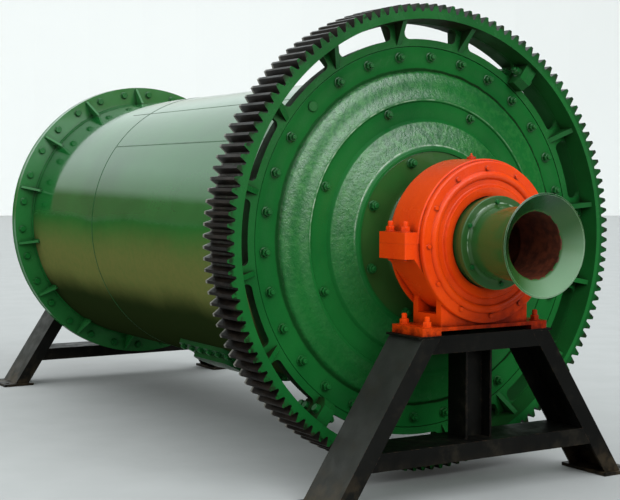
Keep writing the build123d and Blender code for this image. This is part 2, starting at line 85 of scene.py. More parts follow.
# Bolt circles: count, first angle, radius
FLANGE_BOLTS = (30, 9.0, SHELL_R + 0.072)
EMPTY_PLACE = 3  # of the gear end's flange, with a raised disc in place of a nut
EMPTY_DISC = ((0.024, -SINK), (0.024, 0.006), (0.021, 0.009))
LINER_BOLTS = (8, 23.5, 0.615)
TRUNNION_BOLTS = (8, 25.0, 0.373)
COVER_BOLTS = (12, 28.0, 0.326)
MOUTH_BOLTS = (6, 26.0, 0.180)
LINER_RING_H = 0.046
TRUNNION_FACE_H = 0.093
MOUTH_FLANGE_T = 0.026

# Sloping bands of the heads, from one radius to another
HEAD_SLOPES = ((0.430, 0.545), (0.654, 0.786))
HEAD_STEP_R = SHELL_R + 0.009
HEAD_CRESTS = (0.436, 0.649)
# One of the rings of strongest shine, and the distance from ring to ring
SHINE_R, SHINE_STEP = 0.760, 0.085

# Split line lugs and feet of the bearings
LUG_UP, LUG_DOWN = 0.050, 0.066
LUG_BOLT_X, LUG_BOLT_Y = 0.056, cap_high.y - 0.032
LUG_STUD_END = ((0.012, -SINK), (0.012, 0.008), (0.009, 0.011))
BASE_T = 0.036
FOOT_BOLT_X, FOOT_BOLT_Y = (base_high.x - base_low.x) / 2 - 0.036, 0.302
CHANNEL_WEB_T = 0.009

# Oil nipple: width across flats and height of its hexagon, and the outline of its stem
NIPPLE_FLATS, NIPPLE_HEX_H = 0.017, 0.007
NIPPLE_STEM = ((0.0050, 0.005), (0.0035, 0.010), (0.0045, 0.012), (0.0045, 0.014), (0.0025, 0.016))

# Girth gear, and the joint of its two halves
GEAR_ROOT_R = 1.052
SPLIT_ANGLES = (126.5, -53.5)
JOINT_PLATE_T = 0.034
JOINT_BOLT_R = FLANGE_R + 0.068
RIB_FRONT, RIB_REAR = gear_low.x + 0.206, gear_low.x + 0.012
GEAR_WEB_T = 0.024
JOINT_BOLT_SPREAD = 0.022

# Manhole: bolts in two rows along the saddle, and some more at its ends
MANHOLE_ANGLE = -74.0
SADDLE_T = 0.022
ROW_BOLTS, ROW_PITCH, ROW_TURN = 6, 0.106, 18.2
END_BOLT_X, END_BOLT_TURN = 0.267, 9.0

# Gussets: count, first angle; and their size
GUSSETS = (15, 15.0)
GUSSET_HALF_T, GUSSET_LENGTH, GUSSET_NOSE = 0.0075, 0.098, 0.012

# Seams of the shell plates: the ring seam, and angle, start and end of the lengthwise ones
RING_SEAM_X = -0.556
LONG_SEAMS = (
    (37.0, RING_SEAM_X, flange_low.x),
    (59.0, RING_SEAM_X - 0.25, flange_low.x),
    (-150.0, 0.05 - SHELL_END, RING_SEAM_X),
)
SEAM_STOP = 0.02  # how far short of its end a lengthwise seam stops

# Half width and height of the weld runs, and the spacing of their points and scallops
RING_SEAM, LONG_SEAM = (0.0050, 0.0016), (0.0045, 0.0014)
FLANGE_FILLET, GUSSET_FILLET, STAND_FILLET = (0.009, 0.007), (0.0055, 0.0045), (0.006, 0.004)
FINE_STEP, COARSE_STEP, SCALLOP = 0.0045, 0.006, 0.006
FLANGE_FILLET_OFF, POST_FILLET_OFF = 0.004, 0.0015  # middle of the run, off the plate
POST_RUN, LEG_RUN = 0.062, 0.118  # half lengths of the runs on a stand
LEG_INSET = 0.020  # top of a leg, from the end of the top beam

# Camera of the photograph
CAMERA_AT = Vector((6.7175, -3.6620, 1.3958))
CAMERA_AZIMUTH, CAMERA_ELEVATION = 58.98, 3.06
LENS_MM, SENSOR_MM = 76.5, 36.0

# Sky: its colour over the height, and its level
SKY_STOPS = (
    (0.0, (0.16, 0.12, 0.08, 1)),
    (0.15, (0.17, 0.13, 0.09, 1)),
    (0.20, (0.60, 0.63, 0.60, 1)),
    (0.32, (0.90, 0.98, 0.98, 1)),
    (1.0, (0.93, 0.99, 1.0, 1)),
)
SKY_LEVEL = 1.5
# Its brighter part and its dimmer side: azimuth, elevation, where each ends and is full, in degrees
BRIGHT_PART, BRIGHT_LEVEL = (100.0, 22.0, 32.0, 0.0), 5.5
DIM_PART, DIM_SHARE = (168.0, 16.0, 48.0, 24.0), 0.06
# Floor and backdrop: two tones of each, and their sizes
FLOOR_TONES, FLOOR_HALF = (0.43, 0.45), 90.0
WALL_TONES, WALL_DISTANCE, WALL_HEIGHT = (0.80, 0.82), 45.0, 10.5
WALL_HALF_ANGLE, WALL_SPANS = 32.0, 24


def srgb(red, green, blue):
    """Linear colour of an 8-bit sRGB one."""
    def linear(value):
        value /= 255
        return value / 12.92 if value <= 0.04045 else ((value + 0.055) / 1.055) ** 2.4
    return (linear(red), linear(green), linear(blue), 1.0)


class Shader:
    """One node material; each method adds a node and gives back its output socket."""

    def __init__(self, name):
        self.material = bpy.data.materials.new(name)
        self.material.use_nodes = True
        self.tree = self.material.node_tree
        self.tree.nodes.clear()
        self.place = self.node("ShaderNodeTexCoord").outputs["Object"]
        split = self.node("ShaderNodeSeparateXYZ", {0: self.place})
        self.x, self.y, self.z = split.outputs

    def node(self, kind, inputs=None, **settings):
        made = self.tree.nodes.new(kind)
        for key, value in settings.items():
            setattr(made, key, value)
        for key, value in (inputs or {}).items():
            if isinstance(value, bpy.types.NodeSocket):
                self.tree.links.new(value, made.inputs[key])
            else:
                made.inputs[key].default_value = value
        return made

    def math(self, operation, first, second=0.0):
        made = self.node("ShaderNodeMath", {0: first, 1: second}, operation=operation)
        return made.outputs[0]

    def ramp(self, value, low, high, to_low=0.0, to_high=1.0):
        made = self.node(
            "ShaderNodeMapRange",
            {"Value": value, "From Min": low, "From Max": high, "To Min": to_low, "To Max": to_high},
            interpolation_type="SMOOTHSTEP",
        )
        return made.outputs["Result"]

    def line(self, value, at, outer, inner):
        """1 where a value lies within the inner distance of a place, 0 past the outer one."""
        return self.ramp(self.math("ABSOLUTE", self.math("SUBTRACT", value, at)), outer, inner)

    def noise(self, scale, detail=3.0, roughness=0.55, stretch=None):
        place = self.place
        if stretch:
            place = self.node("ShaderNodeMapping", {"Vector": place, "Scale": stretch}).outputs[0]
        made = self.node(
            "ShaderNodeTexNoise",
            {"Vector": place, "Scale": scale, "Detail": detail, "Roughness": roughness},
        )
        return made.outputs["Fac"]

    def mix(self, factor, first, second):
        """Blend of two colours; they are the seventh and eighth inputs of the node."""
        made = self.node("ShaderNodeMix", {0: factor, 6: first, 7: second}, data_type="RGBA")
        return made.outputs[2]

    def tone(self, colour, shade, scale=1.7, detail=4.0):
        """Paint in two shades that drift into each other."""
        return self.mix(self.ramp(self.noise(scale, detail), 0.35, 0.7), colour, shade)

    def radius(self):
        """Distance from the mill axis."""
        height = self.math("SUBTRACT", self.z, AXIS_Z)
        flat = self.node("ShaderNodeCombineXYZ", {"Y": self.y, "Z": height}).outputs[0]
        return self.node("ShaderNodeVectorMath", {0: flat}, operation="LENGTH").outputs["Value"]

    def lee(self, low, high):
        """1 low on the +Y side of the axis, from one distance to another, and 0 elsewhere."""
        across = self.math("MULTIPLY", self.y, 0.6)
        down = self.math("MULTIPLY", self.math("SUBTRACT", AXIS_Z, self.z), 0.8)
        return self.ramp(self.math("ADD", across, down), low, high)

    def facing_x(self):
        """1 on faces that look along the mill, 0 on those that look across it."""
        flat = self.node("ShaderNodeNewGeometry").outputs["True Normal"]
        return self.math("ABSOLUTE", self.node("ShaderNodeSeparateXYZ", {0: flat}).outputs[0])

    def crevice(self, distance):
        """1 in corners and under things, where shade is painted, 0 in the open."""
        made = self.node("ShaderNodeAmbientOcclusion", {"Distance": distance}, samples=6)
        return self.ramp(made.outputs["AO"], 0.35, 0.95, 1.0, 0.0)

    def dirt_and_shade(self, distance, least, most, scale=14.0, low=0.25, high=0.65):
        """Share of dirty paint and painted shade in the corners, more of it in some patches than in
        others.
        """
        patches = self.ramp(self.noise(scale, 4.0), low, high, least, most)
        return self.math("MULTIPLY", self.crevice(distance), patches)

    def rounded(self, radius):
        """Normal with small rounds along the edges."""
        return self.node("ShaderNodeBevel", {"Radius": radius}, samples=4).outputs[0]

    def edge(self, rounded):
        """1 on the edges where the rounded normal leaves the flat one."""
        normal = self.node("ShaderNodeNewGeometry").outputs["True Normal"]
        dot = self.node("ShaderNodeVectorMath", {0: normal, 1: rounded}, operation="DOT_PRODUCT")
        return self.ramp(dot.outputs["Value"], 0.995, 0.90)

    def gloss(self, top):
        """Specular level that dust takes down towards the floor."""
        return self.ramp(self.z, AXIS_Z - 0.35, AXIS_Z + 0.50, 0.15 * top, top)

    def bump(self, height, strength, distance, normal):
        inputs = {"Height": height, "Strength": strength, "Distance": distance, "Normal": normal}
        return self.node("ShaderNodeBump", inputs).outputs[0]

    def finish(self, colour, roughness, normal=None, metallic=0.0, specular=0.5):
        """Principled surface with its output."""
        inputs = {
            "Base Color": colour,
            "Roughness": roughness,
            "Metallic": metallic,
            "Specular IOR Level": specular,
        }
        if normal:
            inputs["Normal"] = normal
        surface = self.node("ShaderNodeBsdfPrincipled", inputs)
        self.node("ShaderNodeOutputMaterial", {"Surface": surface.outputs[0]})
        return self.material


GREEN = srgb(26, 98, 42)
GREEN_SHADE = srgb(16, 80, 34)
PLATE_GREEN = srgb(42, 108, 54)
# Painted shade of the gear rim
RIM_SHADE_GREEN = srgb(8, 42, 18)
# Dirty paint, and painted shade, in corners and under things
GREEN_GRIME_AND_SHADE = srgb(16, 26, 12)
MANHOLE_GREEN = srgb(18, 78, 34)
MANHOLE_SHADE = srgb(12, 60, 26)
SEAM_SHADE = srgb(12, 50, 22)
# Painted shade inside the flare
FLARE_SHADE_GREEN = srgb(14, 60, 26)
# Painted shade under the shell
UNDERSIDE_SHADE_GREEN = srgb(18, 34, 14)
# Dust and painted reflection of brown ground on the shell
DUST_AND_GROUND_REFLECTION = srgb(103, 106, 58)
WINDOW_DIRT = srgb(30, 32, 18)
ORANGE = srgb(241, 76, 14)
ORANGE_SHADE = srgb(222, 58, 10)
# Dirty paint and painted shade on the bearings
ORANGE_GRIME_AND_SHADE = srgb(62, 10, 5)
BLACK = srgb(12, 12, 10)
BLACK_SHADE = srgb(6, 6, 5)
# Painted sheen of the left leg
LEG_SHEEN_GREY = srgb(54, 55, 52)
STAND_DUST = srgb(50, 45, 36)
FLOOR_DUST = srgb(84, 70, 52)
EDGE_RUST = srgb(96, 72, 56)
STEEL = srgb(150, 148, 140)
JOURNAL_STEEL = srgb(120, 112, 100)
# Painted sheen on the head slopes
SLOPE_SHEEN_GREEN = srgb(84, 150, 78)
GREASE = srgb(15, 12, 10)
GREASE_DRY = srgb(40, 33, 28)
RUST = srgb(104, 50, 31)
RUST_DARK = srgb(66, 32, 21)
WARM_GRIME = srgb(64, 84, 40)
# Painted glare inside the flare
FLARE_GLARE_GREEN = srgb(138, 170, 140)
# Pale wear, and painted highlight on crests and welds
PALE_WEAR_AND_HIGHLIGHT = srgb(176, 196, 172)
PLATE_WORN = srgb(110, 140, 108)
BOLT_WORN = srgb(70, 108, 66)


def paint(
    name, colour, shade, grime_and_shade,
    rough=0.16, specular=0.2, cast=0.0, round_r=0.002, worn=None, foot=None,
):
    """Brushed enamel on plate, or on a casting with lumps of a height, dirty and with painted shade
    in its corners; where a foot height is given, dirty up to it and with painted shade low on the +Y
    side.
    """
    s = Shader(name)
    colour = s.tone(colour, shade)
    mottle = s.ramp(s.noise(26.0, 5.0, 0.65), 0.45, 0.75, 0.0, 0.35)
    colour = s.mix(mottle, colour, shade)
    # Dirty paint and painted shade in the corners.
    soiled_and_shaded = s.dirt_and_shade(0.035, 0.2, 0.8)
    colour = s.mix(soiled_and_shaded, colour, grime_and_shade)
    if foot:
        # Painted shade, in patches, low on the +Y side.
        shade_patches = s.ramp(s.noise(10.0, 5.0), 0.3, 0.65, 0.45, 0.8)
        colour = s.mix(s.math("MULTIPLY", s.lee(0.08, 0.34), shade_patches), colour, grime_and_shade)
        low = s.ramp(s.z, foot + 0.06, foot - 0.04)
        low = s.math("MULTIPLY", low, s.ramp(s.noise(22.0, 6.0, 0.7), 0.35, 0.65, 0.3, 0.95))
        colour = s.mix(low, colour, grime_and_shade)
    normal = s.rounded(round_r)
    if worn:
        chips = s.ramp(s.noise(70.0, 3.0), 0.52, 0.62)
        colour = s.mix(s.math("MULTIPLY", s.edge(normal), chips), colour, worn)
    normal = s.bump(s.noise(260.0, 2.0), 0.2, 0.0003, normal)
    normal = s.bump(s.noise(7.0, 2.0), 0.3, 0.004, normal)
    if cast:
        normal = s.bump(s.noise(60.0, 6.0, 0.6), 0.9, cast, normal)
    roughness = s.ramp(s.noise(9.0, 4.0), 0.3, 0.7, rough - 0.03, rough + 0.07)
    roughness = s.math("ADD", roughness, s.math("MULTIPLY", soiled_and_shaded, 0.35))
    return s.finish(colour, roughness, normal, specular=s.gloss(specular))


def shell_material():
    """Glossy enamel on rolled plate, with a brown band below the axis that is dust and a painted
    reflection of brown ground, and painted shade underneath.
    """
    s = Shader("shell_enamel")
    normal = s.rounded(0.002)
    colour = s.tone(GREEN, GREEN_SHADE, 1.3)
    streaks = s.ramp(s.noise(20.0, 5.0, 0.65, stretch=(0.5, 1.0, 1.0)), 0.45, 0.8, 0.0, 0.3)
    colour = s.mix(streaks, colour, GREEN_SHADE)
    uneven = s.ramp(s.noise(2.2, 5.0), 0.2, 0.8, -0.02, 0.02)
    height = s.math("ADD", s.math("SUBTRACT", s.z, AXIS_Z), uneven)
    dull = s.ramp(height, 0.14 * SHELL_R, 0.03 * SHELL_R)
    # Dust and painted reflection of brown ground below the axis.
    reflection_film = s.ramp(height, 0.14 * SHELL_R, -0.26 * SHELL_R)
    reflection_film = s.math("MULTIPLY", reflection_film, s.ramp(s.noise(30.0, 5.0, 0.6), 0.2, 0.7, 0.8, 1.0))
    colour = s.mix(reflection_film, colour, DUST_AND_GROUND_REFLECTION)
    # Painted shade underneath.
    under = s.ramp(height, -0.34 * SHELL_R, -0.58 * SHELL_R, 0.0, 0.92)
    colour = s.mix(under, colour, UNDERSIDE_SHADE_GREEN)
    # Dirty paint and painted shade in the corners.
    colour = s.mix(s.dirt_and_shade(0.035, 0.2, 0.8), colour, GREEN_GRIME_AND_SHADE)
    normal = s.bump(s.noise(240.0, 2.0), 0.12, 0.0003, normal)
    normal = s.bump(s.noise(5.0, 2.0), 0.10, 0.004, normal)
    roughness = s.ramp(s.noise(9.0, 4.0), 0.3, 0.7, 0.05, 0.12)
    roughness = s.math("ADD", roughness, s.math("MULTIPLY", dull, 0.22))
    specular = s.ramp(dull, 0.0, 1.0, 0.5, 0.0)
    return s.finish(colour, roughness, normal, specular=specular)


def head_material():
    """Enamel over the casting: rough on its two slopes, smooth on the turned flats."""
    s = Shader("head_enamel")
    radius = s.radius()
    slopes = 0.0
    for low, high in HEAD_SLOPES:
        start = s.ramp(radius, low - 0.004, low + 0.004)
        end = s.ramp(radius, high + 0.004, high - 0.004)
        slopes = s.math("MAXIMUM", slopes, s.math("MULTIPLY", start, end))
    normal = s.rounded(0.002)
    colour = s.tone(GREEN, GREEN_SHADE)
    # Painted sheen, in flecks, on the rough slopes, stronger higher up.
    painted_sheen = s.ramp(s.noise(34.0, 6.0, 0.65), 0.42, 0.62)
    # Both slopes are smoother, and carry less painted sheen, on the +Y side.
    inner = s.ramp(radius, HEAD_SLOPES[0][1] + 0.01, HEAD_SLOPES[0][1])
    rough_outer = s.math(
        "MULTIPLY", s.ramp(s.y, -0.50, 0.40, 1.0, 0.3), s.math("SUBTRACT", 1.0, inner)
    )
    rough_inner = s.math("MULTIPLY", s.ramp(s.y, 0.05, 0.40, 1.0, 0.4), inner)
    rough_side = s.math("ADD", rough_outer, rough_inner)
    slopes = s.math("MULTIPLY", slopes, rough_side)
    painted_sheen = s.math("MULTIPLY", s.math("MULTIPLY", slopes, painted_sheen), s.gloss(0.34))
    colour = s.mix(painted_sheen, colour, SLOPE_SHEEN_GREEN)
    # Dirty paint and painted shade at the foot of the outer step, the shade stronger on the +Y side.
    wander = s.math("ADD", radius, s.ramp(s.noise(12.0, 4.0), 0.3, 0.7, -0.003, 0.003))
    step_dirt_and_shade = s.line(wander, HEAD_STEP_R, 0.012, 0.005)
    step_dirt_and_shade = s.math("MULTIPLY", step_dirt_and_shade, s.ramp(s.y, -0.5, 0.3, 0.5, 0.9))
    soiled_and_shaded = s.math("MAXIMUM", s.dirt_and_shade(0.03, 0.15, 0.6), step_dirt_and_shade)
    colour = s.mix(soiled_and_shaded, colour, GREEN_GRIME_AND_SHADE)
    # Painted highlight along the crests, above the axis, less of it on the +Y side.
    crest_highlight = 0.0
    for crest_r in HEAD_CRESTS:
        crest_highlight = s.math("MAXIMUM", crest_highlight, s.line(radius, crest_r, 0.0045, 0.001))
    crest_highlight = s.math("MULTIPLY", crest_highlight, s.ramp(s.noise(20.0, 4.0), 0.4, 0.6, 0.15, 0.65))
    crest_highlight = s.math("MULTIPLY", crest_highlight, s.ramp(s.z, AXIS_Z - 0.10, AXIS_Z + 0.15))
    colour = s.mix(s.math("MULTIPLY", crest_highlight, rough_side), colour, PALE_WEAR_AND_HIGHLIGHT)
    normal = s.bump(s.noise(7.0, 2.0), 0.4, 0.004, normal)
    normal = s.bump(s.noise(45.0, 4.0, 0.6), s.ramp(slopes, 0.0, 1.0, 0.25, 1.0), 0.0045, normal)
    normal = s.bump(s.noise(170.0, 3.0, 0.6), s.ramp(slopes, 0.0, 1.0, 0.15, 0.7), 0.0014, normal)
    roughness = s.ramp(s.noise(9.0, 4.0), 0.3, 0.7, 0.13, 0.22)
    roughness = s.math("ADD", roughness, s.math("MULTIPLY", slopes, 0.12))
    # The outer slope shines in rings, the inner one evenly.
    rings = s.math("MULTIPLY", s.math("SUBTRACT", radius, SHINE_R), 2 * math.pi / SHINE_STEP)
    rings = s.ramp(s.math("COSINE", rings), -1.0, 1.0, 0.40, 1.10)
    rings = s.math("MAXIMUM", rings, s.math("MULTIPLY", inner, 0.85))
    shine = s.math("MULTIPLY", s.ramp(slopes, 0.0, 1.0, 0.18, 0.85), rings)
    specular = s.math("MULTIPLY", shine, s.gloss(1.0))
    return s.finish(colour, roughness, normal, specular=specular)


def gear_material():
    """Green casting whose teeth are black with grease, and bright at their rear ends."""
    s = Shader("gear_paint_and_grease")
    normal = s.rounded(0.0015)
    radius = s.radius()
    colour = s.tone(GREEN, GREEN_SHADE)
    # Painted shade darkens the rim on the +Y side.
    beyond_rim = s.ramp(radius, GEAR_ROOT_R - 0.018, GEAR_ROOT_R - 0.008)
    shaded = s.math("MULTIPLY", beyond_rim, s.ramp(s.y, 0.30, 0.95, 0.0, 0.5))
    colour = s.mix(shaded, colour, RIM_SHADE_GREEN)
    # Dirty paint and painted shade in the corners.
    colour = s.mix(s.dirt_and_shade(0.04, 0.3, 0.85, 11.0, 0.2, 0.6), colour, GREEN_GRIME_AND_SHADE)
    # Grease on everything of the teeth that doesn't face along the mill, smeared on their faces.
    sideways = s.ramp(s.facing_x(), 0.75, 0.6)
    ragged = s.math("ADD", radius, s.ramp(s.noise(55.0, 3.0), 0.3, 0.7, -0.006, 0.006))
    teeth = s.ramp(ragged, GEAR_ROOT_R - 0.008, GEAR_ROOT_R - 0.002)
    teeth = s.math("MULTIPLY", sideways, teeth)
    smear = s.ramp(s.noise(38.0, 4.0), 0.42, 0.58, 0.1, 0.85)
    smear = s.math("MULTIPLY", s.ramp(ragged, GEAR_ROOT_R, GEAR_ROOT_R + 0.022), smear)
    teeth = s.math("MAXIMUM", teeth, smear)
    thick = s.noise(30.0, 5.0, stretch=(0.35, 1.0, 1.0))
    grease = s.mix(s.ramp(thick, 0.35, 0.75), GREASE, GREASE_DRY)
    rear = s.ramp(s.x, gear_low.x + 0.022, gear_low.x + 0.006, 0.0, 0.7)
    rear = s.math("MULTIPLY", rear, s.ramp(thick, 0.3, 0.5))
    grease = s.mix(rear, grease, STEEL)
    colour = s.mix(teeth, colour, grease)
    # Brown dirt under the rim, on the walls of the windows and on the ribs, less on the +Y side.
    within = s.ramp(radius, GEAR_ROOT_R - 0.008, GEAR_ROOT_R - 0.018)
    within = s.math("MULTIPLY", within, sideways)
    dirty = s.math("MULTIPLY", within, s.ramp(s.noise(6.0, 4.0), 0.3, 0.65, 0.45, 0.95))
    dirty = s.math("MULTIPLY", dirty, s.ramp(s.y, 0.1, 0.7, 1.0, 0.3))
    colour = s.mix(dirty, colour, WINDOW_DIRT)
    normal = s.bump(s.noise(75.0, 5.0), 0.5, 0.0015, normal)
    roughness = s.ramp(s.noise(12.0, 4.0), 0.3, 0.7, 0.16, 0.3)
    roughness = s.math("ADD", roughness, s.math("MULTIPLY", teeth, 0.2))
    roughness = s.math("ADD", roughness, s.math("MULTIPLY", within, 0.4))
    specular = s.ramp(s.math("MAXIMUM", within, s.math("MULTIPLY", teeth, 0.4)), 0.0, 1.0, 1.0, 0.2)
    specular = s.math("MULTIPLY", specular, s.gloss(0.25))
    return s.finish(colour, roughness, normal, specular=specular)


def rim_wear_and_weld_highlight(s, normal, radius, distance):
    """1 along the rim of the flare, where paint is worn off, and round the foot of the tube above
    the axis, where a highlight on the weld is painted.
    """
    rim = s.ramp(distance, mouth_high.x - 0.012, mouth_high.x - 0.008)
    rim = s.math("MULTIPLY", s.edge(normal), rim)
    # Painted highlight on the weld round the foot of the tube, above the axis.
    foot = s.line(radius, TUBE_FOOT_R, 0.004, 0.001)
    foot = s.math("MULTIPLY", foot, s.ramp(s.noise(25.0, 4.0), 0.35, 0.6))
    front = mouth_low.x + MOUTH_FLANGE_T
    foot = s.math("MULTIPLY", foot, s.ramp(distance, front - 0.004, front - 0.001))
    foot = s.math("MULTIPLY", foot, s.ramp(distance, front + 0.012, front + 0.008))
    foot = s.math("MULTIPLY", foot, s.ramp(s.z, AXIS_Z - 0.10, AXIS_Z))
    return s.math("MAXIMUM", foot, rim)


def bored_material(name, bore_r, bore_end, journal=None):
    """Green outside, rusty in the bore, and bright on the journal where it has one."""
    s = Shader(name)
    normal = s.rounded(0.002)
    radius = s.radius()
    colour = s.tone(GREEN, GREEN_SHADE, 1.9)
    # Dirty paint and painted shade in the corners.
    colour = s.mix(s.dirt_and_shade(0.03, 0.2, 0.7, low=0.2, high=0.6), colour, GREEN_GRIME_AND_SHADE)
    colour = s.mix(s.ramp(s.noise(5.0, 4.0), 0.3, 0.7, 0.3, 0.6), colour, WARM_GRIME)
    rust = s.mix(s.ramp(s.noise(22.0, 6.0, 0.65), 0.35, 0.65), RUST, RUST_DARK)
    distance = s.math("ABSOLUTE", s.x)
    ragged = s.math("ADD", distance, s.ramp(s.noise(30.0, 4.0), 0.3, 0.7, -0.008, 0.008))
    bore = s.ramp(radius, bore_r + 0.006, bore_r + 0.003)
    bore = s.math("MULTIPLY", bore, s.ramp(ragged, bore_end + 0.004, bore_end))
    colour = s.mix(bore, colour, rust)
    # Inside the flare there is painted shade above and a pale painted glare below.
    flare = s.ramp(distance, bore_end + 0.002, bore_end + 0.01)
    flare = s.math("MULTIPLY", flare, s.ramp(s.facing_x(), 0.15, 0.3))
    colour = s.mix(s.math("MULTIPLY", flare, s.lee(0.0, -0.16)), colour, FLARE_SHADE_GREEN)
    # Pale painted glare low on the +Y side.
    reflection_film = s.math("MULTIPLY", s.lee(0.02, 0.20), 0.6)
    colour = s.mix(s.math("MULTIPLY", flare, reflection_film), colour, FLARE_GLARE_GREEN)
    # Paint worn off the rim of the flare, and a painted highlight on the weld at the foot of the
    # tube.
    worn = s.math("MULTIPLY", rim_wear_and_weld_highlight(s, normal, radius, distance), 0.75)
    colour = s.mix(worn, colour, PALE_WEAR_AND_HIGHLIGHT)
    metallic = 0.0
    if journal:
        low, high, journal_r = journal
        metallic = s.math(
            "MULTIPLY", s.ramp(distance, low - 0.002, low), s.ramp(distance, high + 0.002, high)
        )
        skin = s.ramp(radius, journal_r - 0.010, journal_r - 0.007)
        metallic = s.math("MULTIPLY", metallic, skin)
        colour = s.mix(metallic, colour, JOURNAL_STEEL)
    normal = s.bump(s.noise(60.0, 5.0), 0.5, 0.0012, normal)
    normal = s.bump(s.noise(7.0, 2.0), 0.3, 0.003, normal)
    roughness = s.ramp(s.noise(10.0, 4.0), 0.3, 0.7, 0.12, 0.24)
    roughness = s.math("ADD", roughness, s.math("MULTIPLY", bore, 0.5))
    return s.finish(colour, roughness, normal, metallic=metallic, specular=s.gloss(0.7))


def stand_material(name, sky_sheen=0.0):
    """Black paint on rolled steel, dusty, and rusty along its edges.

    Where a share is given, a painted sheen lightens the faces that look across the mill.
    """
    s = Shader(name)
    normal = s.rounded(0.0025)
    colour = s.tone(BLACK, BLACK_SHADE, 3.0, 5.0)
    if sky_sheen:
        # Painted sheen on the faces that look across the mill.
        sheen_share = s.ramp(s.noise(5.0, 5.0, 0.6), 0.25, 0.7, 0.6 * sky_sheen, sky_sheen)
        sheen_share = s.math("MULTIPLY", sheen_share, s.ramp(s.facing_x(), 0.8, 0.5, 0.1, 1.0))
        colour = s.mix(sheen_share, colour, LEG_SHEEN_GREY)
    dust = s.ramp(s.noise(9.0, 6.0, 0.7), 0.5, 0.75, 0.0, 0.4)
    colour = s.mix(dust, colour, STAND_DUST)
    low = s.math("MULTIPLY", s.ramp(s.z, 0.22, 0.0), s.ramp(s.noise(16.0, 5.0), 0.35, 0.65))
    colour = s.mix(s.math("MULTIPLY", low, 0.4), colour, FLOOR_DUST)
    chips = s.math("MULTIPLY", s.edge(normal), s.ramp(s.noise(60.0, 4.0), 0.5, 0.62))
    colour = s.mix(s.math("MULTIPLY", chips, 0.7), colour, EDGE_RUST)
    normal = s.bump(s.noise(120.0, 4.0), 0.4, 0.0006, normal)
    roughness = s.ramp(s.noise(14.0, 5.0), 0.3, 0.7, 0.38, 0.6)
    return s.finish(colour, roughness, normal, specular=0.08)


MATERIALS = {
    "shell": shell_material(),
    "plate": paint("plate_enamel", PLATE_GREEN, GREEN, GREEN_GRIME_AND_SHADE, specular=0.6, worn=PLATE_WORN),
    "head": head_material(),
    "manhole": paint("manhole_enamel", MANHOLE_GREEN, MANHOLE_SHADE, GREEN_GRIME_AND_SHADE),
    "gear": gear_material(),
    "bearing": paint(
        "bearing_enamel", ORANGE, ORANGE_SHADE, ORANGE_GRIME_AND_SHADE,
        rough=0.22, specular=0.36, cast=0.0018, foot=base_low.z + BASE_T,
    ),
    "stand": stand_material("stand_black_paint"),
    # Left leg, with a painted sheen on its side faces
    "leg": stand_material("leg_rubbed_paint", 0.9),
    "bolt": paint(
        "bolt_enamel", GREEN, GREEN_SHADE, GREEN_GRIME_AND_SHADE,
        rough=0.26, specular=0.35, round_r=0.0012, worn=BOLT_WORN,
    ),
    "orange_bolt": paint(
        "orange_bolt_enamel", ORANGE, ORANGE_SHADE, ORANGE_GRIME_AND_SHADE,
        specular=0.4, round_r=0.0012, foot=base_low.z,
    ),
    "weld": paint("weld_enamel", GREEN, GREEN_SHADE, GREEN_GRIME_AND_SHADE, rough=0.22, round_r=0.001),
    "seam": paint("seam_enamel", GREEN_SHADE, SEAM_SHADE, GREEN_GRIME_AND_SHADE, rough=0.3, round_r=0.001),
    "black_weld": stand_material("black_weld_paint"),
    "trunnion": bored_material(
        "trunnion_enamel", BORE_R, NO_END,
        (cover_low.x - JOURNAL_END, cap_high.x - JOURNAL_END, JOURNAL_R),
    ),
    "mouth": bored_material("mouth_enamel", TUBE_BORE_R, mouth_high.x - FLARE_DEPTH),
}

# Look of each node, by the longest of these that its name starts with
CAD_LOOKS = {
    "shell": "shell",
    "shell_flange": "plate",
    "gussets": "plate",
    "manhole": "manhole",
    "girth_gear": "gear",
    "head": "head",
    "trunnion": "trunnion",
    "mouth": "mouth",
    "bearing": "bearing",
    "stand": "stand",
    "stand_leg_left": "leg",
}


def dress_nodes():
    """Give every node of the model its material."""
    for name, thing in nodes.items():
        start = max((key for key in CAD_LOOKS if name.startswith(key)), key=len)
        thing.data.materials.clear()
        thing.data.materials.append(MATERIALS[CAD_LOOKS[start]])


